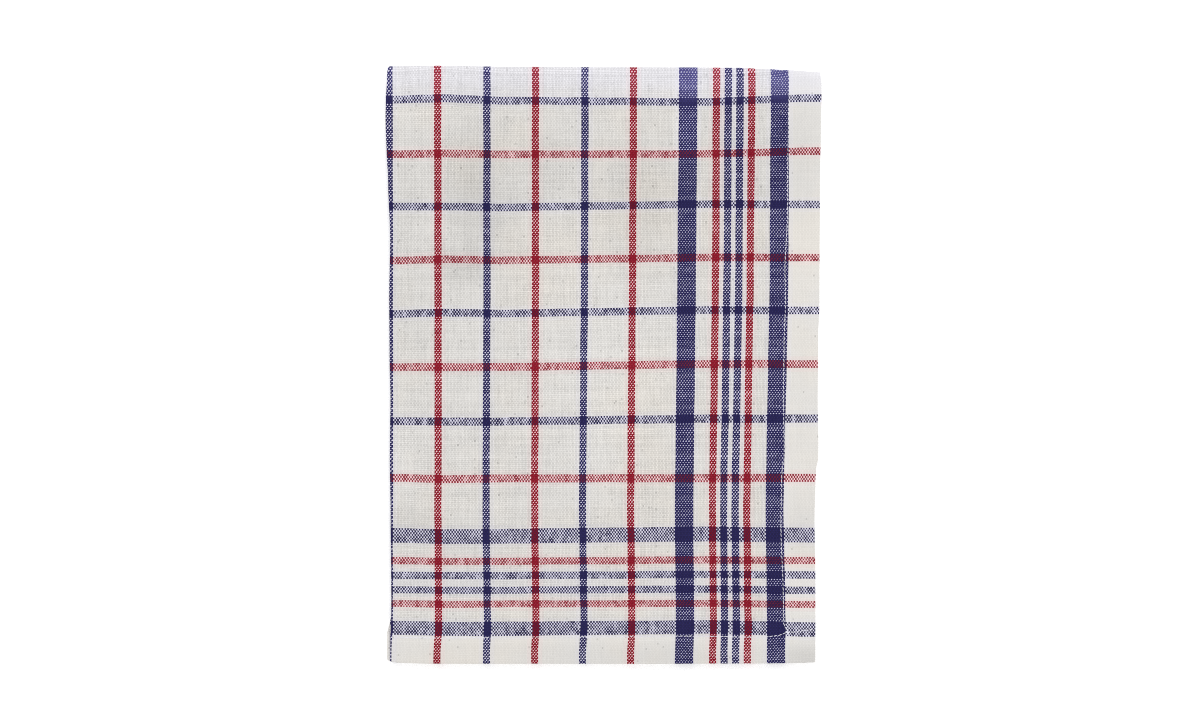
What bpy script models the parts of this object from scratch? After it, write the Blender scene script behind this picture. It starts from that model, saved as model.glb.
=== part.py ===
"""A woven cotton tea towel, folded in half twice and lying flat.

The towel is cut as one panel with a hem along each of its four sides. It is folded first
lengthwise and then across, so it lies as a pile of four layers: the first fold runs down its
left side, the second fold along its top, and hems lie along its right side and its bottom.

Metres, +Z up. The origin is at the middle of the pile's footprint, on the surface that it
lies on. +Y runs towards the second fold, and +X from the first fold to the side hem.
"""
import math
from collections import namedtuple

import bmesh
import bpy

# The cloth after hemming, laid flat. The solid cloth is a little thicker than the real one.
TOWEL_WIDTH = 0.505
TOWEL_LENGTH = 0.694
CLOTH_THICKNESS = 0.0010
LAYER_GAP = 0.0005
SIDE_HEM = 0.021
END_HEM = 0.016

# Over a hem each layer is higher by this share, at the top of a slope of this length.
HEM_SWELL = 0.25
HEM_SLOPE = 0.020

# How many times longer than high the half turn at each fold is.
FIRST_FOLD_REACH = 1.6
SECOND_FOLD_REACH = 1.8

# The soft roll behind the second fold: how far in its crest lies, where it dies out, its rise.
ROLL_CREST = 0.020
ROLL_END = 0.120
ROLL_RISE = 0.0036

# The pile narrows from the second fold to the end hem, more at the side hem than at the fold.
FOLD_LEAN = 0.0022
HEM_LEAN = 0.0035

# The second fold droops at the side hem: how far, and over which width and depth of the pile.
DROOP = 0.0032
DROOP_WIDTH = 0.045
DROOP_DEPTH = 0.120

# The lower layers' hems are drawn in under the top one, by this much at the lowest layer.
LAYER_STAGGER = 0.0012
STAGGER_DEPTH = 0.060

# The lower half of the pile shows past the first fold, just above the end hem's corner.
PEEK = 0.0020
PEEK_LENGTH = 0.030
PEEK_WIDTH = 0.040

# Spacing of the mesh's rows of edges over the open cloth, near the second fold, on the slope up
# to a hem, and how many rows half of a fold's turn has.
OPEN_SPACING = 0.026
ROLL_SPACING = 0.008
SLOPE_SPACING = 0.007
TURN_STEPS = 4

# Broad swells and dips of the pile. Places are measured from the first and the second fold.
# Width and length run from a swell's middle to where it is half as high.
Swell = namedtuple("Swell", "name across down width length rise")
SWELLS = (
    Swell("near the first fold", 0.050, 0.040, 0.055, 0.060, 0.0011),
    Swell("near the side hem", 0.200, 0.050, 0.050, 0.055, 0.0012),
    Swell("middle", 0.145, 0.185, 0.075, 0.070, 0.0008),
    Swell("beside the first fold", 0.045, 0.245, 0.050, 0.060, -0.0004),
    Swell("beside the side hem", 0.220, 0.240, 0.045, 0.080, 0.0005),
    Swell("corner of the hems", 0.232, 0.335, 0.040, 0.040, -0.0006),
)

LAYER_PITCH = CLOTH_THICKNESS + LAYER_GAP
STACK_HEIGHT = 4 * CLOTH_THICKNESS + 3 * LAYER_GAP
FIRST_FOLD_RADIUS = LAYER_PITCH / 2
SECOND_FOLD_RADIUS = LAYER_PITCH


def smooth(value):
    """A soft step from 0 at 0 to 1 at 1."""
    value = min(max(value, 0.0), 1.0)
    return value * value * (3 - 2 * value)


def turn_length(radius, reach):
    """The cloth that a quarter of a turn takes up, halfway through its thickness."""
    return radius * (1 + reach) / 2 * math.pi / 2


def fold_over(along, outward, radius, reach, half_depth):
    """Folds a flat sheet at along = 0, its outer side outwards.

    Returns a point's distance in from the folded edge, and its height from the fold's middle.
    """
    quarter = turn_length(radius, reach)
    edge_to_flat = (radius + half_depth) * reach
    if abs(along) < quarter:
        turn = along / quarter * math.pi / 2
        inward = edge_to_flat - (radius + outward) * reach * math.cos(turn)
        return inward, (radius + outward) * math.sin(turn)
    inward = edge_to_flat + abs(along) - quarter
    return inward, math.copysign(radius + outward, along)


def bell(offset, half_size):
    """A soft bump of height 1 that is half_size wide on each side."""
    return smooth(1 - abs(offset) / half_size)


def roll_rise(down):
    """How far the pile stands up behind the second fold."""
    if down < ROLL_CREST:
        return ROLL_RISE * smooth(down / ROLL_CREST)
    return ROLL_RISE * smooth((ROLL_END - down) / (ROLL_END - ROLL_CREST))


def pile_height(across, down):
    """The height of the top layer's upper side above the surface that the towel lies on."""
    to_side = TOWEL_WIDTH / 2 - across
    to_end = TOWEL_LENGTH / 2 - down
    side_hem = smooth((SIDE_HEM + HEM_SLOPE - to_side) / HEM_SLOPE)
    end_hem = smooth((END_HEM + HEM_SLOPE - to_end) / HEM_SLOPE)
    height = STACK_HEIGHT * (1 + HEM_SWELL * max(side_hem, end_hem)) + roll_rise(down)
    for swell in SWELLS:
        bump = bell(across - swell.across, swell.width * 2)
        height += swell.rise * bump * bell(down - swell.down, swell.length * 2)
    return height


def drift(across, down, level):
    """How far a point is shifted sideways. level runs from 0 at the bottom to 1 at the top."""
    share_across = across / (TOWEL_WIDTH / 2)
    share_down = down / (TOWEL_LENGTH / 2)
    shift_x = share_down * (FOLD_LEAN * (1 - share_across) - HEM_LEAN * share_across)
    to_side = TOWEL_WIDTH / 2 - across
    to_end = TOWEL_LENGTH / 2 - down
    shift_down = DROOP * smooth(1 - to_side / DROOP_WIDTH) * smooth(1 - down / DROOP_DEPTH)
    stagger = LAYER_STAGGER * (1 - level)
    shift_x -= stagger * smooth(1 - to_side / STAGGER_DEPTH)
    shift_down -= stagger * smooth(1 - to_end / STAGGER_DEPTH)
    lower_half = 1 - smooth((level - 0.45) / 0.1)
    near_corner = smooth(1 - to_end / PEEK_LENGTH) * smooth(1 - across / PEEK_WIDTH)
    shift_x -= PEEK * lower_half * near_corner
    return shift_x, shift_down


def fold_point(point):
    """Moves a point of the flat cloth to its place in the folded pile.

    The flat cloth has its middle at the origin and its outer side up.
    """
    layer_half = CLOTH_THICKNESS / 2
    across, pack_height = fold_over(
        point.x, point.z, FIRST_FOLD_RADIUS, FIRST_FOLD_REACH, layer_half
    )
    pack_half = FIRST_FOLD_RADIUS + layer_half
    down, height = fold_over(
        -point.y, pack_height, SECOND_FOLD_RADIUS, SECOND_FOLD_REACH, pack_half
    )
    level = height / STACK_HEIGHT + 0.5
    shift_x, shift_down = drift(across, down, level)
    return across + shift_x, -down - shift_down, level * pile_height(across, down)


def even_steps(start, end, spacing):
    """Evenly spread values from start to end, without the end, at most spacing apart."""
    count = math.ceil((end - start) / spacing)
    return [start + (end - start) * i / count for i in range(count)]


def both_sides(values):
    """The values with their mirror images, from the lowest to the highest."""
    return [-value for value in reversed(values)] + [0.0] + list(values)


def turn_stations(quarter):
    """Rows of edges within half of a fold's turn, without the fold line itself."""
    return [quarter * i / TURN_STEPS for i in range(1, TURN_STEPS)]


def stations_across():
    """Where the flat cloth has a line of edges along its length."""
    quarter = turn_length(FIRST_FOLD_RADIUS, FIRST_FOLD_REACH)
    edge = TOWEL_WIDTH / 2
    hem = edge - SIDE_HEM
    values = turn_stations(quarter)
    values += even_steps(quarter, hem - HEM_SLOPE, OPEN_SPACING)
    values += even_steps(hem - HEM_SLOPE, hem, SLOPE_SPACING)
    return both_sides(values + [hem, edge])


def stations_along():
    """Where the flat cloth has a line of edges across its width."""
    quarter = turn_length(SECOND_FOLD_RADIUS, SECOND_FOLD_REACH)
    edge = TOWEL_LENGTH / 2
    hem = edge - END_HEM
    values = turn_stations(quarter)
    values += even_steps(quarter, ROLL_CREST * 2, ROLL_SPACING)
    values += even_steps(ROLL_CREST * 2, hem - HEM_SLOPE, OPEN_SPACING)
    values += even_steps(hem - HEM_SLOPE, hem, SLOPE_SPACING)
    return both_sides(values + [hem, edge])


def flat_cloth():
    """The hemmed cloth laid flat, as a sheet object that Solidify makes a thin solid."""
    across = stations_across()
    along = stations_along()
    columns = len(across) - 1
    rows = len(along) - 1
    grid = bmesh.new()
    bmesh.ops.create_grid(grid, x_segments=columns, y_segments=rows, size=0.5)
    for vertex in grid.verts:
        vertex.co.x = across[round((vertex.co.x + 0.5) * columns)]
        vertex.co.y = along[round((vertex.co.y + 0.5) * rows)]
    mesh = bpy.data.meshes.new("flat cloth")
    grid.to_mesh(mesh)
    grid.free()
    sheet = bpy.data.objects.new("flat cloth", mesh)
    bpy.context.scene.collection.objects.link(sheet)
    thickness = sheet.modifiers.new("Cloth thickness", "SOLIDIFY")
    thickness.thickness = CLOTH_THICKNESS
    thickness.offset = 0
    return sheet


def cloth_material():
    """Off-white cotton."""
    material = bpy.data.materials.new("cotton cloth")
    material.use_nodes = True
    shader = material.node_tree.nodes["Principled BSDF"]
    shader.inputs["Base Color"].default_value = (0.72, 0.70, 0.66, 1)
    shader.inputs["Roughness"].default_value = 0.9
    shader.inputs["Metallic"].default_value = 0
    return material


def folded_towel(collection):
    """The towel folded in quarters, as one closed solid with its footprint centred."""
    sheet = flat_cloth()
    bpy.context.view_layer.update()
    evaluated = sheet.evaluated_get(bpy.context.evaluated_depsgraph_get())
    mesh = bpy.data.meshes.new_from_object(evaluated)
    bpy.data.objects.remove(sheet)
    mesh.name = "towel"
    places = [fold_point(vertex.co) for vertex in mesh.vertices]
    middle_x = (min(p[0] for p in places) + max(p[0] for p in places)) / 2
    middle_y = (min(p[1] for p in places) + max(p[1] for p in places)) / 2
    for vertex, (x, y, z) in zip(mesh.vertices, places):
        vertex.co = (x - middle_x, y - middle_y, z)
    mesh.shade_smooth()
    mesh.set_sharp_from_angle(angle=math.radians(50))
    mesh.materials.append(cloth_material())
    towel = bpy.data.objects.new("towel", mesh)
    collection.objects.link(towel)
    return towel


def main():
    for item in list(bpy.data.objects):
        bpy.data.objects.remove(item)
    collection = bpy.data.collections.new("tea towel")
    bpy.context.scene.collection.children.link(collection)
    folded_towel(collection)


main()
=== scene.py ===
# A tea towel folded in quarters, seen from above: the cloth, its weave, its sewing and the light
import math
from bisect import bisect_right
from collections import namedtuple
from functools import lru_cache

import bmesh
import bpy
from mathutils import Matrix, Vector


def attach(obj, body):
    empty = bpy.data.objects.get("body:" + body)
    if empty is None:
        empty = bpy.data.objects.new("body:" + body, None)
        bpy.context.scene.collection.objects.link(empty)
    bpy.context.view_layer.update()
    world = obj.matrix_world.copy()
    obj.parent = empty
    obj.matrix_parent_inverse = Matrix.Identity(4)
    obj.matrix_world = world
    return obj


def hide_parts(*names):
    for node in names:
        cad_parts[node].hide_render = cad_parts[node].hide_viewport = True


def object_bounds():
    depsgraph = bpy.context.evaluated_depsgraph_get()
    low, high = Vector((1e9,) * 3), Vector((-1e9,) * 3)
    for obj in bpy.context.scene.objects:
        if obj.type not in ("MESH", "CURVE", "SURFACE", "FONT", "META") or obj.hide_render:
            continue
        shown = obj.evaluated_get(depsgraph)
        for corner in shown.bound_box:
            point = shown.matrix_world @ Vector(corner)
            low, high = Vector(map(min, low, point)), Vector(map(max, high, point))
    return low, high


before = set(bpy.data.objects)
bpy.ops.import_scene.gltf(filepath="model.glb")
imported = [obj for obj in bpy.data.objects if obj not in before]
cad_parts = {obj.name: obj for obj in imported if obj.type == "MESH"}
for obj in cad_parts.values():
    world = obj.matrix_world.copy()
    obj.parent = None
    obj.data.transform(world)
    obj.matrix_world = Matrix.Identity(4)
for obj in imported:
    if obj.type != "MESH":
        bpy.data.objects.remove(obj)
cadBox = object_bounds()
print("frame loaded: towel box", [[round(n, 4) for n in corner] for corner in cadBox])

mm = 0.001

# The hemmed cloth, laid flat, in metres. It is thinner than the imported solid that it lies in
cloth = {
    "width": 0.505,
    "length": 0.694,
    "thickness": 0.56 * mm,
    "hemThickness": 1.0 * mm,
    "hemStep": 1.2 * mm,      # run over which the cloth thickens at a hem's turned edge
    "sideHem": 21 * mm,
    "endHem": 16 * mm,
    "seamDip": 0.12 * mm,     # how far the sewing draws the cloth in along a hem's seam
    "seamReach": 1.6 * mm,    # and how far it does so beside the seam
}

# How the cloth is folded and lies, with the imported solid's sizes
pile = {
    "solidCloth": 1.0 * mm,
    "layerGap": 0.5 * mm,
    "firstReach": 1.6,        # a fold's half turn is this many times longer than high
    "secondReach": 1.8,
    "hemSwell": 0.25,
    "hemSlope": 20 * mm,
    "rollCrest": 20 * mm,
    "rollEnd": 120 * mm,
    "rollRise": 3.6 * mm,
    "stagger": 1.2 * mm,      # how far the lowest layer's hems are drawn in under the top one
    "staggerDepth": 60 * mm,
    "peek": 2.0 * mm,         # how far the lower half shows past the first fold near the end hem
    "peekLength": 24 * mm,
    "peekStart": 5 * mm,      # and how quickly it comes out
    "peekWidth": 40 * mm,
    "peekYarns": 6,           # there the lower half is folded this many ends off the blue stripe
    "peekLevel": 0.45,        # it ends from this share of the pile's height up, in a soft step
    "peekStep": 0.1,
    "ripple": 0.3 * mm,       # how unevenly each layer lies in its own way
    "rippleRise": 2.5,        # and how quickly that grows from the table up
    "reliefStep": 0.4,        # creases grow from the pile's middle up over this share of its height
    "edgeWaves": 0.6,         # how unevenly the lower hems are drawn in
    "sideWaves": (47, 8),     # in waves by the metre along the side hem, and from layer to layer
    "endWaves": (58, 9),      # and along the end hem
}
layerPitch = pile["solidCloth"] + pile["layerGap"]
stackHeight = 4 * pile["solidCloth"] + 3 * pile["layerGap"]
firstRadius = layerPitch / 2
secondRadius = layerPitch
halfWidth = cloth["width"] / 2
halfLength = cloth["length"] / 2

# Broad swells and dips, in mm: middle from the first and second fold, half sizes at half height, rise
Swell = namedtuple("Swell", "across down width length rise")
swells = (
    Swell(50, 40, 55, 60, 1.1),
    Swell(200, 50, 50, 55, 1.2),
    Swell(145, 185, 75, 70, 0.8),
    Swell(45, 245, 50, 60, -0.4),
    Swell(220, 240, 45, 80, 0.5),
    Swell(232, 335, 40, 40, -0.6),
)

# Soft creases of the top layer, in mm: ends from the first and second fold, half
# width, depth, and how much painted shade darkens the cloth in it. A depth below zero is a ridge.
Crease = namedtuple("Crease", "fromAcross fromDown toAcross toDown width depth darker")
creases = (
    Crease(2, 23.2, 56, 23.6, 0.7, 0.08, 0.03),
    Crease(3, 25.3, 60, 25.8, 0.7, 0.08, 0.03),
    Crease(4, 27.4, 44, 27.7, 0.7, 0.07, 0.025),
    Crease(146, 26.0, 172, 26.2, 0.7, 0.08, 0.03),
    Crease(60, 27.6, 120, 28.4, 0.7, 0.04, 0.015),
    Crease(12, 14, 30, 92, 9, 0.35, 0),
    Crease(38, 60, 66, 118, 11, 0.35, 0.01),
    Crease(96, 30, 88, 132, 10, -0.30, 0),
    Crease(150, 78, 232, 52, 14, 0.45, 0),
    Crease(178, 96, 240, 104, 9, -0.25, 0),
    Crease(120, 150, 60, 205, 12, 0.30, 0.01),
    Crease(20, 262, 92, 250, 10, -0.25, 0),
    Crease(150, 292, 212, 268, 10, 0.30, 0),
    Crease(196, 318, 246, 330, 7, 0.25, 0),
    Crease(30, 322, 110, 326, 6, -0.12, 0),
)
creaseFade = 0.2    # a crease dies out over this share of its length on both sides of each end

# Broad soft spots of painted light and painted shade on the top layer, placed in the photograph's
# pixels: a spot's middle, its half sizes, and how much lighter the cloth is painted there
ShadingSpot = namedtuple("ShadingSpot", "x y width height lighter")
paintedShadingSpots = (
    ShadingSpot(474, 180, 26, 62, -0.105),
    ShadingSpot(506, 205, 40, 60, -0.04),
    ShadingSpot(546, 165, 18, 30, -0.05),
    ShadingSpot(640, 215, 34, 56, -0.075),
    ShadingSpot(600, 190, 60, 60, -0.03),
    ShadingSpot(530, 87, 90, 9, -0.05),
    ShadingSpot(430, 112, 60, 8, 0.05),
    ShadingSpot(462, 268, 24, 14, -0.10),
    ShadingSpot(740, 165, 40, 50, -0.06),
    ShadingSpot(600, 330, 60, 90, 0.035),
    ShadingSpot(592, 445, 22, 50, 0.03),
    ShadingSpot(803, 390, 16, 130, -0.035),
    ShadingSpot(803, 78, 16, 12, -0.03),
    ShadingSpot(803, 150, 16, 60, -0.09),
    ShadingSpot(803, 532, 16, 24, -0.08),
    ShadingSpot(600, 654, 240, 12, -0.08),
    ShadingSpot(399, 452, 10, 34, 0.05),
    ShadingSpot(412, 230, 14, 110, -0.03),
    ShadingSpot(412, 524, 22, 14, -0.08),
    ShadingSpot(470, 540, 40, 20, -0.05),
    ShadingSpot(806, 658, 18, 10, -0.12),
    ShadingSpot(700, 655, 110, 6, -0.03),
    ShadingSpot(742, 72, 50, 9, -0.03),
    ShadingSpot(686, 130, 8, 26, 0.28),
    ShadingSpot(778, 118, 8, 14, 0.12),
)

# The outline's small unevenness, in mm: each pair is a place and the edge's shift there
topEdge = (
    (0, 0.0), (28, -0.3), (66, 0.2), (124, 0.5), (180, 0.7), (205, 0.9), (222, 1.7), (236, 2.8),
    (252, 3.9),
)
endEdge = ((0, -1.4), (8, -0.8), (25, -0.5), (120, -0.4), (215, -0.5), (236, -0.7), (252, -1.2))
foldEdge = (
    (0, 0.2), (8, 0.0), (20, -0.6), (32, -0.9), (50, -0.2), (66, 0.6), (101, 1.7), (136, 1.2),
    (171, 1.4), (195, 1.9), (227, 1.5), (264, 2.0), (311, 2.4), (336, 2.2), (349, 2.1),
)
sideEdge = (
    (0, -0.2), (8, 0.1), (32, -0.4), (66, -0.9), (136, -1.0), (160, -1.8), (195, -2.1), (222, -1.7),
    (229, -1.8), (234, -3.0), (242, -3.4), (264, -3.9), (300, -3.4), (349, -3.4),
)

# The stripes, where the photograph shows them, read to half a pixel. A number counts the yarns from
# the fold to the stripe's middle, and the other columns are that middle's pixels at five heights,
# or at five places across the towel. Between two stripes the yarns lie evenly.
EndStripe = namedtuple("EndStripe", "dye yarns number at85 at285 at506 at628 at652")
endStripes = (
    EndStripe("blue", 5, 0, 388.5, 389, 389, 389, 388),
    EndStripe("red", 5, 34, 437, 437.5, 437.5, 438, 436.5),
    EndStripe("blue", 5, 68, 486.5, 486.5, 485.5, 487, 486),
    EndStripe("red", 5, 102, 535, 535, 534, 535.5, 534),
    EndStripe("blue", 5, 136, 584.5, 584, 582, 583.5, 582),
    EndStripe("red", 5, 170, 633, 632, 630, 631.5, 630),
    EndStripe("blue", 13, 208, 688, 686, 683.5, 684.5, 683.5),
    EndStripe("red", 5, 228, 716, 715, 712, 713, 712),
    EndStripe("blue", 5, 236, 728, 726.5, 723, 724, 723.5),
    EndStripe("blue", 5, 244, 739.5, 738.5, 734.5, 736, 735),
    EndStripe("red", 5, 252, 751.5, 749.5, 746.5, 747.5, 747),
    EndStripe("blue", 13, 272, 779.5, 778.5, 774, 776, 775.5),
)
endHeights = (85, 285, 506, 628, 652)
PickStripe = namedtuple("PickStripe", "dye yarns number at400 at445 at500 at705 at805")
pickStripes = (
    PickStripe("blue", 4, 17.5, 99, 97.5, 100, 101.5, 97.5),
    PickStripe("red", 4, 45.5, 153.5, 153, 154, 153.5, 150.5),
    PickStripe("blue", 4, 73.5, 206, 206, 207, 203.5, 204),
    PickStripe("red", 4, 101.5, 260, 258.5, 260, 257, 257),
    PickStripe("blue", 4, 129.5, 313.5, 312, 313, 309.5, 310),
    PickStripe("red", 4, 157.5, 366.5, 366.5, 366.5, 363.5, 363.5),
    PickStripe("blue", 4, 185.5, 420.5, 421, 421, 418, 418),
    PickStripe("red", 4, 213.5, 477.5, 479, 478, 478, 477.5),
    PickStripe("blue", 8, 243.5, 535, 536.5, 536, 533.5, 535),
    PickStripe("red", 4, 257.5, 560, 561, 561, 559.5, 560),
    PickStripe("blue", 4, 265.5, 575, 575, 575, 574, 574.5),
    PickStripe("blue", 4, 273.5, 589.5, 590, 590, 588.5, 590),
    PickStripe("red", 4, 281.5, 603, 604, 603.5, 603, 604),
    PickStripe("blue", 8, 295.5, 627.5, 628.5, 628.5, 626.5, 629),
)
pickPlaces = (400, 445, 500, 705, 805)
# Past the second fold the checks go on, in turn red and blue, to the border of the towel's other end
checkPicks = 28       # from stripe to stripe
backChecks = 8
backBorder = -236.5   # the pick at the middle of that border's first wide stripe

# Where the hems' seams run on the top layer, in the photograph's pixels across and down
sideSeam = (
    (788, 62), (787, 210), (784.5, 268), (785, 302), (783, 392), (780.5, 532), (783, 612),
    (783.5, 624), (787.5, 632), (790, 664),
)
endSeam = ((384, 636), (684, 635.5), (766, 636.5), (777, 635), (787.5, 632), (820, 628.5))

# The photograph is 1200 by 726 pixels, straight down, with this pixel over the towel's left top corner
photo = {
    "pixel": 0.5833 * mm,
    "width": 1200,
    "height": 726,
    "cornerX": 387,
    "cornerY": 66,
    "lens": 100.0,
    "sensor": 36.0,
    "searchStart": 100 * mm,  # the cloth under a pixel is found from this guess, in a few turns
    "searchTurns": 6,
}
cameraDistance = photo["width"] * photo["pixel"] * photo["lens"] / photo["sensor"]
middleX = photo["width"] / 2
middleY = photo["height"] / 2


def smooth(value):
    value = min(max(value, 0.0), 1.0)
    return value * value * (3 - 2 * value)


def bell(offset, halfSize):
    return smooth(1 - abs(offset) / halfSize)


def readCurve(pairs, place):
    # a soft curve through pairs of a place and a value
    places = [pair[0] for pair in pairs]
    after = min(max(bisect_right(places, place), 1), len(pairs) - 1)
    low, high = pairs[after - 1], pairs[after]
    share = smooth((place - low[0]) / (high[0] - low[0]))
    return low[1] + (high[1] - low[1]) * share


def turnLength(radius, reach):
    return radius * (1 + reach) / 2 * math.pi / 2


def foldOver(along, outward, radius, reach, halfDepth):
    # folds a flat sheet at along = 0, and gives the way in from the folded edge and the height
    quarter = turnLength(radius, reach)
    edgeToFlat = (radius + halfDepth) * reach
    if abs(along) < quarter:
        turn = along / quarter * math.pi / 2
        inward = edgeToFlat - (radius + outward) * reach * math.cos(turn)
        return inward, (radius + outward) * math.sin(turn)
    return edgeToFlat + abs(along) - quarter, math.copysign(radius + outward, along)


def rollRise(down):
    if down < pile["rollCrest"]:
        return pile["rollRise"] * smooth(down / pile["rollCrest"])
    fall = pile["rollEnd"] - pile["rollCrest"]
    return pile["rollRise"] * smooth((pile["rollEnd"] - down) / fall)


def pileHeight(across, down):
    slope = pile["hemSlope"]
    sideHem = smooth((cloth["sideHem"] + slope - halfWidth + across) / slope)
    endHem = smooth((cloth["endHem"] + slope - halfLength + down) / slope)
    height = stackHeight * (1 + pile["hemSwell"] * max(sideHem, endHem)) + rollRise(down)
    for swell in swells:
        bump = bell(across - swell.across * mm, swell.width * 2 * mm)
        height += swell.rise * mm * bump * bell(down - swell.down * mm, swell.length * 2 * mm)
    return height


def creaseAt(across, down):
    # how far the creases raise the cloth here, and how much painted shade they give it
    height = darker = 0.0
    for crease in creases:
        startX, startY = crease.fromAcross * mm, crease.fromDown * mm
        runX, runY = crease.toAcross * mm - startX, crease.toDown * mm - startY
        length = math.hypot(runX, runY)
        offX, offY = across - startX, down - startY
        share = (offX * runX + offY * runY) / length ** 2
        if not -creaseFade < share < 1 + creaseFade:
            continue
        aside = abs(offX * runY - offY * runX) / length
        if aside < crease.width * mm * 2:
            fade = creaseFade * 2
            ends = smooth((share + creaseFade) / fade) * smooth((1 + creaseFade - share) / fade)
            strength = bell(aside, crease.width * mm * 2) * ends
            height -= crease.depth * mm * strength
            # painted shade in the crease
            darker += crease.darker * strength
    return height, darker


def seamDip(across, down):
    # the sewing draws the cloth in along each hem's seam
    reach = cloth["seamReach"]
    dip = bell(across - seamAcross(down), reach) + bell(down - seamDown(across), reach)
    return cloth["seamDip"] * min(dip, 1.0)


def seamAcross(down):
    return readCurve(sideSeamLine, down)


def seamDown(across):
    return readCurve(endSeamLine, across)


def drift(across, down, level):
    # how far a point of the pile is shifted sideways. level is 0 at the bottom and 1 at the top
    shareAcross = min(max(across / halfWidth, 0.0), 1.0)
    shareDown = min(max(down / halfLength, 0.0), 1.0)
    shiftX = readCurve(foldEdge, down / mm) * mm * (1 - shareAcross)
    shiftX += readCurve(sideEdge, down / mm) * mm * shareAcross
    # the top edge's unevenness dies out over a third of the length, and so does the end's
    shiftDown = readCurve(topEdge, across / mm) * mm * (1 - smooth(shareDown * 3))
    shiftDown += readCurve(endEdge, across / mm) * mm * smooth(shareDown * 3 - 2)
    stagger = pile["stagger"] * (1 - level)
    alongHem, byLevel = pile["sideWaves"]
    waves = pile["edgeWaves"] * math.sin(down * alongHem + level * byLevel)
    shiftX -= stagger * (1 + waves) * smooth(1 - (halfWidth - across) / pile["staggerDepth"])
    alongHem, byLevel = pile["endWaves"]
    waves = pile["edgeWaves"] * math.sin(across * alongHem + level * byLevel)
    shiftDown -= stagger * (1 + waves) * smooth(1 - (halfLength - down) / pile["staggerDepth"])
    lowerHalf = 1 - smooth((level - pile["peekLevel"]) / pile["peekStep"])
    return shiftX - pile["peek"] * lowerHalf * peekShare(across, down), shiftDown


def peekShare(across, down):
    # 1 at the corner of the first fold and the end hem, where the lower half shows
    share = smooth((pile["peekLength"] - halfLength + down) / pile["peekStart"])
    return share * smooth(1 - across / pile["peekWidth"])


# The layers' own ripples: waves by the metre across and along the flat cloth, and their starts
Ripple = namedtuple("Ripple", "across along start")
ripples = (Ripple(53, 19, 0.0), Ripple(-27, 43, 1.3), Ripple(37, 91, 0.6))


def rippleAt(u, v):
    waves = sum(math.sin(wave.across * u + wave.along * v + wave.start) for wave in ripples)
    return pile["ripple"] * waves / len(ripples)


def clothUnder(x, y):
    # the point of the top layer under a pixel, by its way in from the two folded edges
    across = down = photo["searchStart"]
    for turn in range(photo["searchTurns"]):
        nearer = 1 + pileHeight(across, down) / cameraDistance
        shiftX, shiftDown = drift(across, down, 1.0)
        flatX = (x + 0.5 - middleX) / nearer + middleX
        flatY = (y + 0.5 - middleY) / nearer + middleY
        across = (flatX - photo["cornerX"]) * photo["pixel"] - shiftX
        down = (flatY - photo["cornerY"]) * photo["pixel"] - shiftDown
    return across, down


sideSeamLine = sorted(clothUnder(*place)[::-1] for place in sideSeam)
endSeamLine = sorted(clothUnder(*place) for place in endSeam)


def foldPoint(u, v, outward):
    # a point of the flat cloth, outward from its middle layer, in the pile
    halfSolid = pile["solidCloth"] / 2
    across, packHeight = foldOver(u, outward, firstRadius, pile["firstReach"], halfSolid)
    down, height = foldOver(
        -v, packHeight, secondRadius, pile["secondReach"], firstRadius + halfSolid
    )
    level = height / stackHeight + 0.5
    shiftX, shiftDown = drift(across, down, level)
    z = level * pileHeight(across, down)
    z += rippleAt(u, v) * smooth(level * pile["rippleRise"])
    if level > 0.5:
        relief = creaseAt(across, down)[0] - seamDip(across, down)
        z += relief * smooth((level - 0.5) / pile["reliefStep"])
    return Vector((cadBox[0][0] + across + shiftX, cadBox[1][1] - down - shiftDown, z))


def inRow(row, places, place):
    # a stripe's pixel at this place, along straight lines between its columns
    column = min(max(bisect_right(places, place), 1), len(places) - 1)
    share = (place - places[column - 1]) / (places[column] - places[column - 1])
    share = min(max(share, 0.0), 1.0)
    return row[2 + column] + (row[3 + column] - row[2 + column]) * share


def yarnAt(rows, places, place, pixel):
    # the yarn that lies at this pixel, counted from the fold
    lines = [inRow(row, places, place) for row in rows]
    after = min(max(bisect_right(lines, pixel), 1), len(rows) - 1)
    share = (pixel - lines[after - 1]) / (lines[after] - lines[after - 1])
    return rows[after - 1].number + (rows[after].number - rows[after - 1].number) * share


def fromFold(along, radius, reach, halfDepth):
    # the way in from the folded edge, where the turn's cloth is spread evenly over the turn
    quarter = turnLength(radius, reach)
    edgeToFlat = (radius + halfDepth) * reach
    if along < quarter:
        return along / quarter * edgeToFlat
    return edgeToFlat + along - quarter


def wayIn(u, v):
    # the way in from the two folded edges to a point of the flat cloth
    halfSolid = pile["solidCloth"] / 2
    across = fromFold(abs(u), firstRadius, pile["firstReach"], halfSolid)
    return across, fromFold(abs(v), secondRadius, pile["secondReach"], firstRadius + halfSolid)


@lru_cache(maxsize=None)
def yarnPlace(away, below):
    # the end and the pick over a point of the top quarter, by its way from the two fold lines
    across, down = wayIn(away, below)
    shiftX, shiftDown = drift(across, down, 1.0)
    x = photo["cornerX"] + (across + shiftX) / photo["pixel"]
    y = photo["cornerY"] + (down + shiftDown) / photo["pixel"]
    # what lies nearer to the camera is seen further out. A pixel is named for its corner
    nearer = 1 + pileHeight(across, down) / cameraDistance
    x = middleX + (x - middleX) * nearer - 0.5
    y = middleY + (y - middleY) * nearer - 0.5
    return yarnAt(endStripes, endHeights, y, x), yarnAt(pickStripes, pickPlaces, x, y)


def threadPlace(u, v):
    # the yarns over a point of the flat cloth, times their pitch. The lower layers mirror the top
    # one at the fold lines
    end, pick = yarnPlace(abs(u), abs(v))
    if u < 0:
        end = 2 * yarnPlace(0.0, abs(v))[0] - end
    if v > 0:
        pick = 2 * yarnPlace(abs(u), 0.0)[1] - pick
        end += pile["peekYarns"] * peekShare(abs(u), v)
    return end * weave["endPitch"], pick * weave["pickPitch"]


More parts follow.
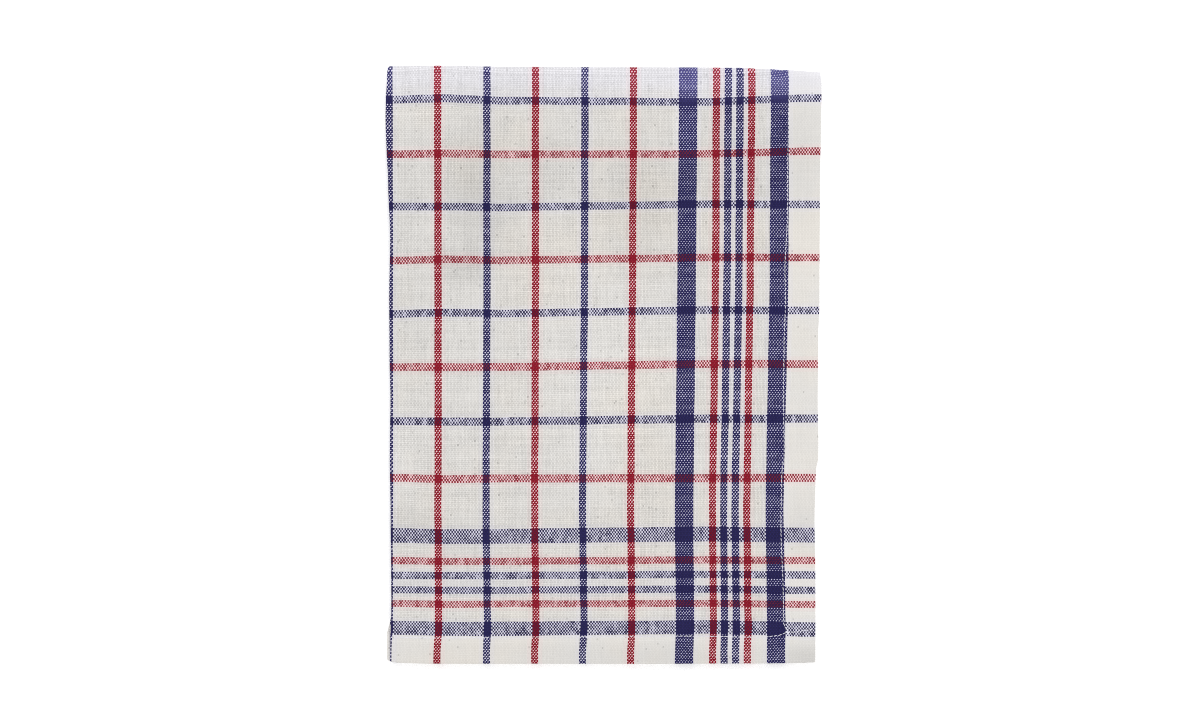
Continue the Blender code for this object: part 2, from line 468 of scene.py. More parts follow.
def paintedShadingAt(point, u, v):
    # the painted light and shade of the top layer at a point, as seen in the photograph
    x = photo["cornerX"] + (point.x - cadBox[0][0]) / photo["pixel"]
    y = photo["cornerY"] + (cadBox[1][1] - point.y) / photo["pixel"]
    # the creases' painted shade
    lighter = -creaseAt(*wayIn(u, v))[1]
    for paintedShading in paintedShadingSpots:
        spot = bell(x - paintedShading.x, paintedShading.width * 2) * bell(y - paintedShading.y, paintedShading.height * 2)
        lighter += paintedShading.lighter * spot
    return 1 + lighter


# How far apart the mesh's rows of vertices are: on the top quarter's open cloth, on its roll, over
# the fine creases behind the second fold, and on the three quarters below
rowSteps = {
    "open": 2.5 * mm,
    "roll": 1.2 * mm,
    "fine": 0.5 * mm,
    "fineFrom": 20 * mm,
    "fineTo": 28 * mm,
    "under": 9 * mm,
    "underRoll": 3 * mm,
    "underRollTo": 30 * mm,
    "turnRows": 8,            # rows in half of a fold's turn
    "quick": 3.0,
}


def evenSteps(start, end, spacing):
    count = math.ceil((end - start) / spacing)
    return [start + (end - start) * i / count for i in range(count)]


def rimStations(edge, radius):
    # the last stations before a rim, which is half round
    return [edge - radius * share for share in (1.0, 0.62, 0.3, 0.08, 0.0)]


def stationList(edge, hem, quarter, fine):
    # rows of vertices of one half, from the fold line out. fine lists (from, to, spacing)
    turnRows = rowSteps["turnRows"]
    values = [quarter * i / turnRows for i in range(1, turnRows)]
    for start, end, spacing in fine:
        values += evenSteps(start, end, spacing)
    rim = cloth["hemThickness"] / 2
    step = cloth["hemStep"]
    values += [edge - hem - step, edge - hem - step / 2, edge - hem]
    values += evenSteps(edge - hem + fine[-1][2], edge - rim, fine[-1][2])
    return values + rimStations(edge, rim)


firstQuarter = turnLength(firstRadius, pile["firstReach"])
secondQuarter = turnLength(secondRadius, pile["secondReach"])
sideStart = halfWidth - cloth["sideHem"] - cloth["hemStep"]
endStart = halfLength - cloth["endHem"] - cloth["hemStep"]
detail = 1.0
halfAcross = (halfWidth, cloth["sideHem"], firstQuarter)
halfAlong = (halfLength, cloth["endHem"], secondQuarter)
topAcross = stationList(*halfAcross, [(firstQuarter, sideStart, rowSteps["open"] * detail)])
underAcross = stationList(*halfAcross, [(firstQuarter, sideStart, rowSteps["under"])])
topAlong = stationList(*halfAlong, [
    (secondQuarter, rowSteps["fineFrom"], rowSteps["roll"] * detail),
    (rowSteps["fineFrom"], rowSteps["fineTo"], rowSteps["fine"] * detail),
    (rowSteps["fineTo"], endStart, rowSteps["open"] * detail),
])
underAlong = stationList(*halfAlong, [
    (secondQuarter, rowSteps["underRollTo"], rowSteps["underRoll"]),
    (rowSteps["underRollTo"], endStart, rowSteps["under"]),
])
acrossStations = [-u for u in reversed(underAcross)] + [0.0] + topAcross
alongStations = [-v for v in reversed(topAlong)] + [0.0] + underAlong


def hemShare(u, v):
    # 1 over a hem, 0 on the open cloth
    step = cloth["hemStep"]
    side = smooth((abs(u) - sideStart) / step)
    return max(side, smooth((abs(v) - endStart) / step))


def halfThickness(u, v):
    thick = cloth["thickness"] + (cloth["hemThickness"] - cloth["thickness"]) * hemShare(u, v)
    radius = cloth["hemThickness"] / 2
    inset = min(halfWidth - abs(u), halfLength - abs(v), radius)
    return thick / 2 * math.sqrt(max(1 - (1 - inset / radius) ** 2, 0.0))


# Each part's room in the OFBake map. The top quarter and the folds' turns
# have most of it, then the quarter underneath, and the hidden layers little
Room = namedtuple("Room", "side fromU toU fromV toV left low right high")
rooms = (
    Room(1, -firstQuarter, halfWidth, -halfLength, secondQuarter, 0.003, 0.003, 0.722, 0.997),
    Room(1, -firstQuarter, halfWidth, secondQuarter, halfLength, 0.730, 0.405, 0.997, 0.997),
    Room(1, -halfWidth, -firstQuarter, -halfLength, 0, 0.730, 0.205, 0.812, 0.395),
    Room(1, -halfWidth, -firstQuarter, 0, halfLength, 0.822, 0.205, 0.904, 0.395),
    Room(-1, 0, halfWidth, -halfLength, 0, 0.914, 0.205, 0.997, 0.395),
    Room(-1, 0, halfWidth, 0, halfLength, 0.730, 0.003, 0.812, 0.195),
    Room(-1, -halfWidth, 0, -halfLength, 0, 0.822, 0.003, 0.904, 0.195),
    Room(-1, -halfWidth, 0, 0, halfLength, 0.914, 0.003, 0.997, 0.195),
)


def bakeRoom(u, v, outward):
    for room in rooms:
        if room.side == outward and room.fromU < u < room.toU and room.fromV < v < room.toV:
            return room


def bakePlace(room, u, v):
    across = (u - room.fromU) / (room.toU - room.fromU)
    along = (v - room.fromV) / (room.toV - room.fromV)
    return room.left + (room.right - room.left) * across, room.low + (room.high - room.low) * along


def addObject(name, data):
    thing = bpy.data.objects.new(name, data)
    bpy.context.scene.collection.objects.link(thing)
    return thing


def clothSide(outward):
    # one side of the cloth as a folded grid. Its outer side is at outward = 1, the inner at -1
    columns = len(acrossStations) - 1
    rows = len(alongStations) - 1
    grid = bmesh.new()
    bmesh.ops.create_grid(grid, x_segments=columns, y_segments=rows, size=0.5)
    paintedShading = grid.verts.layers.float.new("paintedShading")
    openness = grid.verts.layers.float.new("openness")
    flat = {}
    spots = {}
    for vertex in grid.verts:
        u = acrossStations[round((vertex.co.x + 0.5) * columns)]
        v = alongStations[round((vertex.co.y + 0.5) * rows)]
        flat[vertex] = threadPlace(u, v)
        spots[vertex] = (u, v)
        vertex[openness] = 1 - weave["hemSmooth"] * hemShare(u, v)
        vertex.co = foldPoint(u, v, outward * halfThickness(u, v))
        # painted light and shade, only on the top quarter's outer side
        vertex[paintedShading] = paintedShadingAt(vertex.co, u, v) if outward > 0 and u > 0 and v < 0 else 1.0
    threads = grid.loops.layers.uv.new("threads")
    bake = grid.loops.layers.uv.new("OFBake")
    for face in grid.faces:
        middleU = sum(spots[vertex][0] for vertex in face.verts) / 4
        middleV = sum(spots[vertex][1] for vertex in face.verts) / 4
        room = bakeRoom(middleU, middleV, outward)
        for corner in face.loops:
            corner[threads].uv = flat[corner.vert]
            corner[bake].uv = bakePlace(room, *spots[corner.vert])
    if outward < 0:
        bmesh.ops.reverse_faces(grid, faces=grid.faces[:])
    side = bpy.data.meshes.new("cloth side")
    grid.to_mesh(side)
    grid.free()
    return side


def foldedCloth():
    # both sides welded along the hems' edges into one closed sheet
    both = bmesh.new()
    for outward in (1, -1):
        side = clothSide(outward)
        both.from_mesh(side)
        bpy.data.meshes.remove(side)
    rim = [vertex for vertex in both.verts if vertex.is_boundary]
    bmesh.ops.remove_doubles(both, verts=rim, dist=0.001 * mm)
    mesh = bpy.data.meshes.new("folded cloth")
    both.to_mesh(mesh)
    both.free()
    mesh.shade_smooth()
    return addObject("folded_cloth", mesh)


# Shader maths. A Wire is a socket that Python's own signs work on.
class Wire:
    def __init__(self, tree, socket):
        self.tree = tree
        self.socket = socket

    def maths(self, operation, *others):
        return makeNode(self.tree, "ShaderNodeMath", {"operation": operation}, (self, *others))

    def __add__(self, other):
        return self.maths("ADD", other)

    def __sub__(self, other):
        return self.maths("SUBTRACT", other)

    def __rsub__(self, other):
        return makeNode(self.tree, "ShaderNodeMath", {"operation": "SUBTRACT"}, (other, self))

    def __mul__(self, other):
        return self.maths("MULTIPLY", other)

    def __truediv__(self, other):
        return self.maths("DIVIDE", other)

    __radd__ = __add__
    __rmul__ = __mul__

    def output(self, name):
        return Wire(self.tree, self.socket.node.outputs[name])


def makeNode(tree, kind, settings=None, sockets=None, output=0):
    # settings are set first. sockets are values or wires, by name or in order
    node = tree.nodes.new(kind)
    for name, value in (settings or {}).items():
        setattr(node, name, value)
    rows = sockets.items() if isinstance(sockets, dict) else enumerate(sockets or ())
    for key, value in rows:
        if isinstance(value, Wire):
            tree.links.new(value.socket, node.inputs[key])
        else:
            node.inputs[key].default_value = value
    return Wire(tree, node.outputs[output] if len(node.outputs) else None)


def mixColour(tree, share, low, high, blend="MIX"):
    settings = {"data_type": "RGBA", "blend_type": blend}
    return makeNode(tree, "ShaderNodeMix", settings, {0: share, 6: low, 7: high}, 2)


def mixValue(tree, share, low, high):
    return makeNode(tree, "ShaderNodeMix", None, {0: share, 2: low, 3: high})


def joinVector(tree, x, y, z=0.0):
    return makeNode(tree, "ShaderNodeCombineXYZ", None, (x, y, z))


def flatNoise(tree, place, scale, roughness, detail=2.0, output=0):
    sockets = {"Vector": place, "Scale": scale, "Detail": detail, "Roughness": roughness}
    return makeNode(tree, "ShaderNodeTexNoise", {"noise_dimensions": "2D"}, sockets, output)


def newMaterial(name):
    material = bpy.data.materials.new(name)
    material.use_nodes = True
    material.node_tree.nodes.clear()
    return material


def surface(tree, sockets):
    shader = makeNode(tree, "ShaderNodeBsdfPrincipled", None, sockets)
    makeNode(tree, "ShaderNodeOutputMaterial", None, {"Surface": shader})


# The weave: a plain weave whose ends cover more than its picks. Half sizes are in pitches, and
# scales are of the noise by the metre
weave = {
    "endPitch": 0.82 * mm,
    "pickPitch": 1.12 * mm,
    "endWidth": 0.54,
    "float": (0.41, 0.32),      # a pick's float over an end: half its length, half its width
    "dyedFloat": (0.17, 0.23),  # a dyed pick is thicker and shows this much more
    "widePick": (0.04, 0.05),   # and in a wide stripe this much more again
    "dyedEnd": (-0.05, 0.01),   # a dyed end is thicker too and covers this much of the float
    "wideEnd": (0.06, 0.05),    # and in a wide stripe, where the ends lie closer, this much more
    "endFloat": (0.50, 0.50),   # an end's float over a dyed pick
    "lean": 0.18,               # the floats lean with the twist of the yarn
    "uneven": 0.24,             # how much the floats differ in size, by yarn and one by one
    "dyedUneven": 0.02,         # and how much more on a dyed end
    "zones": 0.5,               # and how much from place to place
    "zoneScale": 70.0,
    "patches": 1.15,            # and how patchy the dyed picks are
    "patchSpan": (0.23, 0.16),  # patches for each end and for each pick
    "wander": 0.30 * mm,        # how far the yarns stray from straight
    "wanderScale": 45.0,
    "slub": 0.16,               # how much a yarn swells and thins
    "slubSpan": (0.045, 0.035), # slubs for each pick along an end, and for each end along a pick
    "slubApart": (7.31, 5.17),  # how far apart in the noise two ends' and two picks' slubs are
    "slubShade": 0.2,           # how much lighter a yarn is where it swells
    "twist": (4.2, 5.6),        # the strands' turns along a pick and along an end
    "twistLean": 1.6,
    "twistShade": 0.03,
    "floatShade": 0.06,         # how much the floats differ in tone one by one, and the picks
    "pickShade": 0.05,
    "grooveShade": 0.17,             # painted shade between white yarns
    "dyedGrooveShade": 0.45,         # and between dyed ones
    "dip": 0.10,                # and where an end dips under a pick
    "crossing": 0.25,           # darkening where the two dyes cross
    "crossingBlend": (0.58, 0.12),  # there a pick takes on the end's tone, and an end the pick's
    "hemSmooth": 0.6,           # how much smoother the weave is over a hem's folded cloth
    "mottle": 0.06,             # broad unevenness of the tone
    "warmFrom": 0.42,           # and of the white's warmth: from where in its noise, and how steeply
    "warmGain": 4,
    "warmScale": 16.0,
    "coolFrom": 26 * mm,        # the painted light on the roll begins this far in from the second fold
    "coolTo": 8 * mm,           # and is whole here
    "tilt": 0.5,                # how far a yarn's sides turn the light
    "flecks": 0.004,            # the share of crossings with a dark fleck of husk, and how dark
    "fleckDepth": 0.22,
    "bloom": 0.55,              # how much white yarns take the tone of dyed ones beside them
    "wideBloom": 0.30,          # and how much more so in a wide stripe
    "halo": 0.16,               # and the share of it in the yarns next to a stripe
    "haloYarns": 2.5,
    "rollLightPaling": 0.18,           # how much paler dyed yarns are painted in the light on the roll
    "wideLightPaling": 0.40,           # and how much more the wide stripes do
    "roughness": 0.88,
    "gloss": 0.05,              # cotton hardly shines, and more would show as white specks
    "sheen": 0.02,
}
yarnColours = {
    "white": (0.672, 0.656, 0.629, 1),
    # the white in the painted light on the second fold's roll
    "cool": (0.70, 0.69, 0.715, 1),
    "warm": (0.686, 0.656, 0.610, 1),
    "red": (0.262, 0.005, 0.018, 1),
    "blue": (0.0215, 0.0185, 0.093, 1),
    "redPick": (0.255, 0.022, 0.036, 1),
    "redBloom": (0.90, 0.45, 0.50, 1),    # white yarns among red ones, and among blue ones
    "blueBloom": (0.60, 0.59, 0.82, 1),
    "deepBloom": (0.20, 0.20, 0.40, 1),   # and in a wide blue stripe
    "bluePick": (0.020, 0.017, 0.062, 1),
    "redRoll": (0.60, 0.10, 0.17, 1),     # dyed yarns in the painted light on the second fold's roll
    "blueRoll": (0.13, 0.12, 0.36, 1),
}


def dyeMask(number, stripes, dye, fewest=1, beside=-0.25):
    # 1 on the yarns that have this dye, and as far beside them as asked, 0 on the others
    mask = None
    for stripe in stripes:
        if stripe.dye == dye and stripe.yarns >= fewest:
            near = number.maths("COMPARE", stripe.number, stripe.yarns / 2 + beside)
            mask = near if mask is None else mask + near
    return mask


def backStripes():
    # the picks' stripes behind the second fold: the checks, and the border as a mirror image
    first = pickStripes[0].number
    rows = []
    for check in range(1, backChecks + 1):
        rows.append(pickStripes[check % 2]._replace(number=first - check * checkPicks))
    wide = next(row for row in pickStripes if row.yarns > 4)
    for row in pickStripes[pickStripes.index(wide):]:
        rows.append(row._replace(number=backBorder + wide.number - row.number))
    return rows


def clothMaterial():
    material = newMaterial("checked plain weave")
    tree = material.node_tree
    threads = makeNode(tree, "ShaderNodeUVMap", {"uv_map": "threads"})
    place = makeNode(tree, "ShaderNodeTexCoord", output="Object")
    stray = flatNoise(tree, threads, weave["wanderScale"], roughness=0.6, output="Color")
    strayed = makeNode(
        tree, "ShaderNodeVectorMath", {"operation": "MULTIPLY_ADD"},
        (stray, (weave["wander"] * 2,) * 3, threads),
    )
    across = makeNode(tree, "ShaderNodeSeparateXYZ", None, (strayed,))
    x = (across - weave["wander"]) / weave["endPitch"]
    y = (across.output("Y") - weave["wander"]) / weave["pickPitch"]
    end = (x + 0.5).maths("FLOOR")
    pick = (y + 0.5).maths("FLOOR")
    offEnd = x - end
    offPick = y - pick

    # which dye each end and each pick has
    endSide = end.maths("ABSOLUTE")
    redEnd = dyeMask(endSide, endStripes, "red")
    blueEnd = dyeMask(endSide, endStripes, "blue")
    allPicks = (*pickStripes, *backStripes())
    redPick = dyeMask(pick, allPicks, "red")
    bluePick = dyeMask(pick, allPicks, "blue")
    wideEnd = dyeMask(endSide, endStripes, "blue", fewest=6)
    widePick = dyeMask(pick, allPicks, "blue", fewest=6)

    # slubs: each yarn swells and thins, and is lighter and darker, along its length
    alongEnd = joinVector(tree, end * weave["slubApart"][0], y * weave["slubSpan"][0])
    alongPick = joinVector(tree, x * weave["slubSpan"][1], pick * weave["slubApart"][1])
    endSlub = flatNoise(tree, alongEnd, 1.0, roughness=0.55) - 0.5
    pickSlub = flatNoise(tree, alongPick, 1.0, roughness=0.55) - 0.5

    # how much each yarn and each float differs from the mean
    chance = makeNode(
        tree, "ShaderNodeTexWhiteNoise", {"noise_dimensions": "2D"},
        {"Vector": joinVector(tree, end, pick)},
    )
    pickChance = makeNode(tree, "ShaderNodeTexWhiteNoise", {"noise_dimensions": "1D"}, {"W": pick})
    zone = flatNoise(tree, threads, weave["zoneScale"], roughness=0.7)
    pickCell = (end + pick).maths("FLOORED_MODULO", 2.0)
    dyedPick = redPick + bluePick
    dyedEnd = redEnd + blueEnd
    swell = (chance + pickChance - 1) * (dyedEnd * weave["dyedUneven"] + weave["uneven"]) + 1
    swell = swell + (zone - 0.5) * weave["zones"]
    # patches where the ends crowd over the dyed picks, and where they draw apart
    patchPlace = joinVector(tree, x * weave["patchSpan"][0], y * weave["patchSpan"][1])
    patches = flatNoise(tree, patchPlace, 1.0, roughness=0.7) - 0.5
    patches = patches * dyedPick * (1 - dyedEnd) * weave["patches"]

    # where a pick's float shows over the end, as a small leaning oval
    reach = []
    for axis in (0, 1):
        size = dyedPick * weave["dyedFloat"][axis] + widePick * weave["widePick"][axis]
        covered = dyedEnd * weave["dyedEnd"][axis] + wideEnd * weave["wideEnd"][axis]
        reach.append((weave["float"][axis] + size - covered) * (swell + patches))
    floatEnd = offEnd / reach[0]
    floatPick = (offPick + offEnd * weave["lean"]) / (reach[1] + pickSlub * weave["slub"] * 2)
    floatRound = (1 - floatEnd * floatEnd - floatPick * floatPick).maths("MAXIMUM", 0.0).maths("SQRT")
    # a dyed pick also shows round the end's float
    clear = swell - patches
    clearEnd = offEnd / (weave["endFloat"][0] * clear)
    clearPick = (offPick - offEnd * weave["lean"]) / (weave["endFloat"][1] * clear)
    beside = (clearEnd * clearEnd + clearPick * clearPick).maths("GREATER_THAN", 1.0)
    beside = beside * dyedPick * (1 - dyedEnd)
    isPick = mixValue(tree, pickCell, beside, floatRound.maths("GREATER_THAN", 0.01))
    isEnd = 1 - isPick
    acrossEnd = offEnd / (weave["endWidth"] + endSlub * weave["slub"])
    endRound = (1 - acrossEnd * acrossEnd).maths("MAXIMUM", 0.0).maths("SQRT")

    # colour
    warmth = flatNoise(tree, threads, weave["warmScale"], roughness=0.6, detail=3.0)
    warmth = (warmth - weave["warmFrom"]) * weave["warmGain"]
    warmth = warmth.maths("MAXIMUM", 0.0).maths("MINIMUM", 1.0)
    # painted light on the second fold's roll: there the white turns cool and the dyed yarns paler
    towardsFold = makeNode(tree, "ShaderNodeSeparateXYZ", None, (place,)).output("Y")
    paintedRollLight = makeNode(
        tree, "ShaderNodeMapRange", {"interpolation_type": "SMOOTHSTEP"},
        {"Value": towardsFold, "From Min": cadBox[1][1] - weave["coolFrom"],
         "From Max": cadBox[1][1] - weave["coolTo"]},
    )
    white = mixColour(tree, warmth, yarnColours["white"], yarnColours["warm"])
    white = mixColour(tree, paintedRollLight, white, yarnColours["cool"])
    for dye, own in (("red", redPick + redEnd), ("blue", bluePick + blueEnd)):
        halo = dyeMask(endSide, endStripes, dye, beside=weave["haloYarns"])
        halo = halo + dyeMask(pick, allPicks, dye, beside=weave["haloYarns"] - 1)
        near = own.maths("MAXIMUM", halo * weave["halo"]).maths("MINIMUM", 1.0)
        white = mixColour(tree, near * weave["bloom"], white, yarnColours[dye + "Bloom"])
    white = mixColour(tree, wideEnd * weave["wideBloom"], white, yarnColours["deepBloom"])
    paintedPaling = paintedRollLight * (wideEnd * weave["wideLightPaling"] + weave["rollLightPaling"])
    yarns = {}
    for dye in ("red", "blue"):
        yarn = mixColour(tree, isEnd, yarnColours[dye + "Pick"], yarnColours[dye])
        yarns[dye] = mixColour(tree, paintedPaling, yarn, yarnColours[dye + "Roll"])
    crossing = redEnd * bluePick + blueEnd * redPick
    blend = crossing * mixValue(tree, isEnd, *weave["crossingBlend"])
    mixedYarn = mixColour(tree, 0.5, yarns["red"], yarns["blue"])
    colour = white
    for dye, onPick, onEnd in (("red", redPick, redEnd), ("blue", bluePick, blueEnd)):
        yarn = mixColour(tree, blend, yarns[dye], mixedYarn)
        colour = mixColour(tree, mixValue(tree, isEnd, onPick, onEnd), colour, yarn)

    # light and dark: painted shade in the grooves between yarns and where an end dips, slubs, and the
    # twist of the yarn
    profile = mixValue(tree, isEnd, floatRound, endRound)
    slub = mixValue(tree, isEnd, pickSlub, endSlub)
    pickTwist = x * weave["twist"][0] + offPick * weave["twistLean"]
    endTwist = y * weave["twist"][1] + offEnd * weave["twistLean"]
    twist = (mixValue(tree, isEnd, pickTwist, endTwist) * math.tau).maths("SINE")
    openness = makeNode(tree, "ShaderNodeAttribute", {"attribute_name": "openness"}, output="Fac")
    dyed = mixValue(tree, isEnd, dyedPick, dyedEnd)
    openness = mixValue(tree, dyed, openness * ((zone - 0.5) * weave["zones"] * 2 + 1), 1.0)
    # painted shade where an end dips under a pick
    dip = isEnd * pickCell * weave["dip"]
    grooveShade = mixValue(tree, dyed, weave["grooveShade"], weave["dyedGrooveShade"])
    unevenness = slub * weave["slubShade"] + twist * weave["twistShade"]
    unevenness = unevenness + (chance - 0.5) * weave["floatShade"]
    unevenness = unevenness + (pickChance - 0.5) * weave["pickShade"]
    shade = (unevenness - grooveShade * (1 - profile) - dip) * openness + 1
    shade = shade + (zone - 0.5) * weave["mottle"]
    fleck = chance.maths("LESS_THAN", weave["flecks"]) * (1 - dyed)
    shade = shade - fleck * weave["fleckDepth"]
    # the painted light and shade of the top layer
    paintedShading = makeNode(tree, "ShaderNodeAttribute", {"attribute_name": "paintedShading"}, output="Fac")
    shade = shade * paintedShading * (1 - crossing * weave["crossing"])
    colour = mixColour(tree, 1.0, colour, joinVector(tree, shade, shade, shade), "MULTIPLY")

    # the yarns' sides turn the light: the normal of the upper yarn in the cloth's own directions
    slopeAcross = mixValue(tree, isEnd, floatEnd, acrossEnd)
    endSlope = (offPick * math.pi).maths("SINE") * (1 - pickCell * 2)
    slopeAlong = mixValue(tree, isEnd, floatPick, endSlope)
    half = openness * weave["tilt"] * 0.5
    normal = joinVector(tree, slopeAcross * half + 0.5, 0.5 - slopeAlong * half, 1.0)
    bent = makeNode(tree, "ShaderNodeNormalMap", {"uv_map": "threads"}, {"Color": normal})
    surface(tree, {
        "Base Color": colour, "Roughness": weave["roughness"], "Normal": bent,
        "Specular IOR Level": weave["gloss"], "Sheen Weight": weave["sheen"],
    })
    return material


towel = foldedCloth()
towel.data.materials.append(clothMaterial())
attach(towel, "root")
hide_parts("towel")
print("cloth folded:", len(towel.data.polygons), "faces")


# The hems' sewing: white thread, one stitch for each pitch along every seam that shows
sewing = {
    "pitch": 2.6 * mm,
    "stitch": 2.3 * mm,
    "thread": 0.46 * mm,
    "slant": 8.0,             # degrees
    "uneven": 0.14,
    "lift": 0.02 * mm,        # of a stitch's middle over the cloth, and less where the pile lies on it
    "pressedLift": -0.16 * mm,
    "seed": 3,
    "cord": (0.80, 0.79, 0.83, 1),
    "cordShade": (0.55, 0.54, 0.62, 1),
    "strands": 1400.0,        # how finely the strands of the thread show, and its fuzz
    "fuzz": 900.0,
    "strandShare": 0.5,       # how much of the thread's lighter tone each of them gives
    "fuzzShare": 0.7,
    "strandDepth": 0.05 * mm,
    "hemEnd": 1.5 * mm,       # where the end hems' seams stop before the side hem's edge
}


def addSeam(net, places):
    # places are flat cloth points, joined into one line
    last = None
    for u, v in places:
        lift = sewing["lift"] if v < 0 else sewing["pressedLift"]
        vertex = net.verts.new(foldPoint(u, v, halfThickness(u, v) + lift))
        if last is not None:
            net.edges.new((last, vertex))
        last = vertex


def seamLines():
    # the side hem's seam goes round the second fold. The end hems' seams show on top and below
    packHalf = firstRadius + pile["solidCloth"] / 2
    firstIn = packHalf * pile["firstReach"] - firstQuarter
    secondIn = (secondRadius + packHalf) * pile["secondReach"] - secondQuarter
    net = bmesh.new()
    cornerV = seamDown(seamAcross(halfLength)) - secondIn
    along = [v for v in alongStations if abs(v) < cornerV]
    addSeam(net, [(seamAcross(abs(v) + secondIn) - firstIn, v) for v in [-cornerV, *along, cornerV]])
    across = [u for u in acrossStations if firstQuarter < u < halfWidth - sewing["hemEnd"]]
    for way in (-1, 1):
        addSeam(net, [(u, way * (seamDown(abs(u) + firstIn) - secondIn)) for u in across])
    mesh = bpy.data.meshes.new("hem seams")
    net.to_mesh(mesh)
    net.free()
    return mesh


def stitchTree():
    tree = bpy.data.node_groups.new("stitches along seams", "GeometryNodeTree")
    tree.interface.new_socket("Seams", in_out="INPUT", socket_type="NodeSocketGeometry")
    for name in ("Pitch", "Stitch", "Thread", "Slant", "Uneven"):
        tree.interface.new_socket(name, in_out="INPUT", socket_type="NodeSocketFloat")
    tree.interface.new_socket("Seed", in_out="INPUT", socket_type="NodeSocketInt")
    tree.interface.new_socket("Cotton", in_out="INPUT", socket_type="NodeSocketMaterial")
    tree.interface.new_socket("Stitches", in_out="OUTPUT", socket_type="NodeSocketGeometry")
    given = makeNode(tree, "NodeGroupInput")
    line = makeNode(tree, "GeometryNodeMeshToCurve", None, {"Mesh": given})
    sockets = {"Curve": line, "Length": given.output("Pitch")}
    line = makeNode(tree, "GeometryNodeResampleCurve", {"mode": "LENGTH"}, sockets)
    bead = makeNode(tree, "GeometryNodeMeshUVSphere", None, {"Segments": 8, "Rings": 6, "Radius": 0.5})
    bead = makeNode(tree, "GeometryNodeSetShadeSmooth", None, {"Geometry": bead})
    way = makeNode(tree, "GeometryNodeInputTangent")
    sockets = {"Vector": way, "Angle": given.output("Slant")}
    way = makeNode(tree, "ShaderNodeVectorRotate", {"rotation_type": "Z_AXIS"}, sockets)
    way = makeNode(tree, "FunctionNodeAlignRotationToVector", {"axis": "Z"}, {"Vector": way})
    # the random value's own sockets for a number are its third and fourth, and the seed its ninth
    uneven = given.output("Uneven")
    chance = {2: 1 - uneven, 3: 1 + uneven, 8: given.output("Seed")}
    chance = makeNode(tree, "FunctionNodeRandomValue", None, chance, 1)
    thick = given.output("Thread") * chance
    size = joinVector(tree, thick, thick, given.output("Stitch") * chance)
    sockets = {"Points": line, "Instance": bead, "Rotation": way, "Scale": size}
    sewn = makeNode(tree, "GeometryNodeInstanceOnPoints", None, sockets)
    sewn = makeNode(tree, "GeometryNodeRealizeInstances", None, {"Geometry": sewn})
    sockets = {"Geometry": sewn, "Material": given.output("Cotton")}
    sewn = makeNode(tree, "GeometryNodeSetMaterial", None, sockets)
    makeNode(tree, "NodeGroupOutput", None, {"Stitches": sewn})
    return tree


def threadMaterial():
    # twisted white cotton
    material = newMaterial("sewing thread")
    tree = material.node_tree
    place = makeNode(tree, "ShaderNodeTexCoord", output="Object")
    strands = makeNode(
        tree, "ShaderNodeTexWave", {"bands_direction": "DIAGONAL"},
        {"Vector": place, "Scale": sewing["strands"], "Distortion": 1.0}, "Fac",
    )
    sockets = {"Vector": place, "Scale": sewing["fuzz"], "Detail": 2.0}
    fuzz = makeNode(tree, "ShaderNodeTexNoise", None, sockets)
    share = (strands * sewing["strandShare"] + fuzz * sewing["fuzzShare"]).maths("MINIMUM", 1.0)
    colour = mixColour(tree, share, sewing["cordShade"], sewing["cord"])
    bump = makeNode(
        tree, "ShaderNodeBump", None,
        {"Strength": 0.4, "Distance": sewing["strandDepth"], "Height": strands},
    )
    surface(tree, {
        "Base Color": colour, "Roughness": 0.8, "Normal": bump, "Specular IOR Level": 0.2,
    })
    return material


def hemStitches():
    seams = addObject("seams", seamLines())
    tree = stitchTree()
    sizes = {
        "Pitch": sewing["pitch"], "Stitch": sewing["stitch"], "Thread": sewing["thread"],
        "Slant": math.radians(sewing["slant"]), "Uneven": sewing["uneven"],
        "Seed": sewing["seed"], "Cotton": threadMaterial(),
    }
    modifier = seams.modifiers.new("stitches", "NODES")
    modifier.node_group = tree
    for item in tree.interface.items_tree:
        if item.in_out == "INPUT" and item.name in sizes:
            modifier[item.identifier] = sizes[item.name]
    bpy.context.view_layer.update()
    evaluated = seams.evaluated_get(bpy.context.evaluated_depsgraph_get())
    mesh = bpy.data.meshes.new_from_object(evaluated)
    bpy.data.objects.remove(seams)
    return addObject("hem_stitches", mesh)


stitches = hemStitches()
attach(stitches, "root")
print("hems sewn:", len(stitches.data.polygons), "faces")


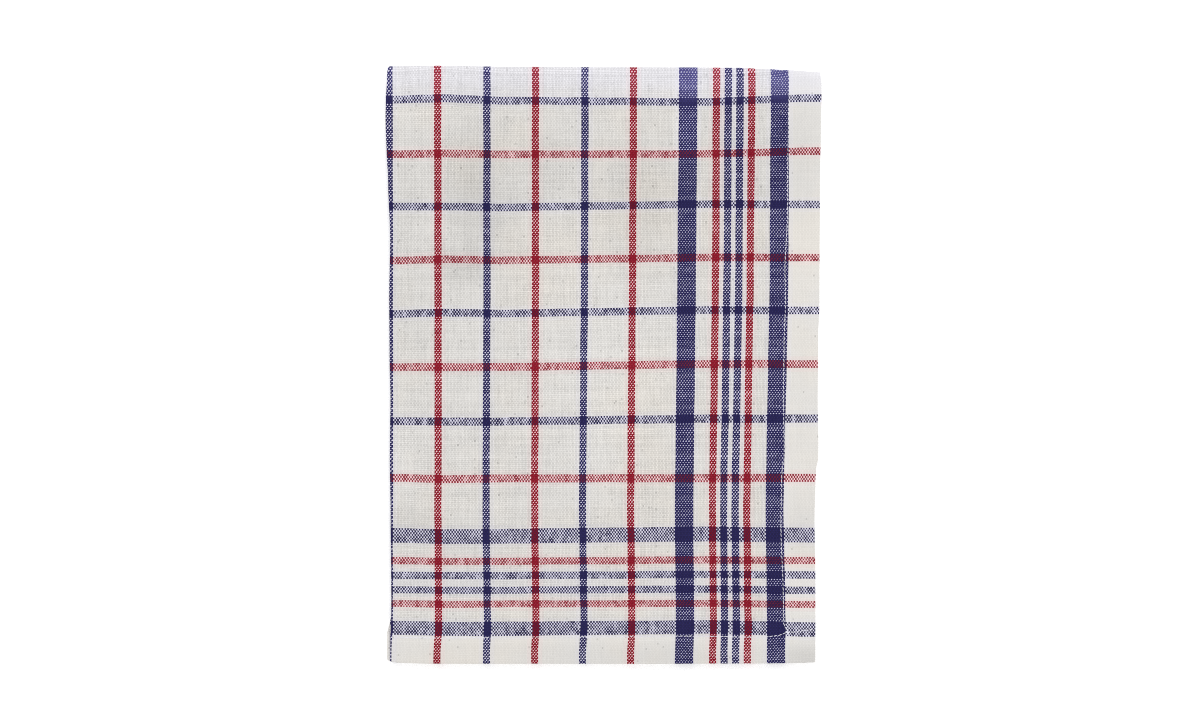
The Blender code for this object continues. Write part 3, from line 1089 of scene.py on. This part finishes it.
# The studio: a white table, light from all round and more of it from the second fold's side
studio = {
    "tableSize": 6.0,
    "tableDrop": 0.1 * mm,
    "tableColour": (0.93, 0.93, 0.93, 1),
    "tableGlow": 0.20,        # the pale table is lit from below a little, so shadows stay faint
    "worldLight": 1.04,
    "keyPlace": (0.25, 1.6, 1.9),
    "keySize": 1.4,
    "keyPower": 17.0,
    "keyColour": (0.96, 0.98, 1.0),
    "brightest": 3.0,         # brighter single samples are cut off, because they leave white specks
}


def makeTable():
    mesh = bpy.data.meshes.new("table")
    grid = bmesh.new()
    bmesh.ops.create_grid(grid, x_segments=2, y_segments=2, size=studio["tableSize"] / 2)
    for vertex in grid.verts:
        vertex.co.z -= studio["tableDrop"]
    grid.to_mesh(mesh)
    grid.free()
    table = addObject("table", mesh)
    material = newMaterial("white table")
    surface(material.node_tree, {
        "Base Color": studio["tableColour"], "Roughness": 0.9, "Specular IOR Level": 0.0,
        "Emission Color": (1, 1, 1, 1), "Emission Strength": studio["tableGlow"],
    })
    table.data.materials.append(material)


def makeLight():
    world = bpy.data.worlds.new("soft light")
    world.use_nodes = True
    background = world.node_tree.nodes["Background"].inputs
    background["Color"].default_value = (1, 1, 1, 1)
    background["Strength"].default_value = studio["worldLight"]
    bpy.context.scene.world = world
    lamp = bpy.data.lights.new("key light", "AREA")
    lamp.shape = "DISK"
    lamp.size = studio["keySize"]
    lamp.energy = studio["keyPower"]
    lamp.color = studio["keyColour"]
    key = addObject("key light", lamp)
    key.location = studio["keyPlace"]
    key.rotation_euler = (-key.location).to_track_quat("-Z", "Y").to_euler()


def makeCamera():
    camera = bpy.data.cameras.new("camera")
    camera.lens = photo["lens"]
    camera.sensor_width = photo["sensor"]
    holder = addObject("camera", camera)
    x = cadBox[0][0] + (middleX - photo["cornerX"]) * photo["pixel"]
    y = cadBox[1][1] - (middleY - photo["cornerY"]) * photo["pixel"]
    holder.location = (x, y, cameraDistance)
    bpy.context.scene.camera = holder


makeTable()
makeLight()
makeCamera()
bpy.context.scene.view_settings.view_transform = "Standard"
cycles = bpy.context.scene.cycles
cycles.use_denoising = False    # it would smooth the weave away
cycles.filter_width = 1.0       # and a wide pixel filter would blur it
cycles.sample_clamp_direct = studio["brightest"]
cycles.sample_clamp_indirect = studio["brightest"]
print("studio set")
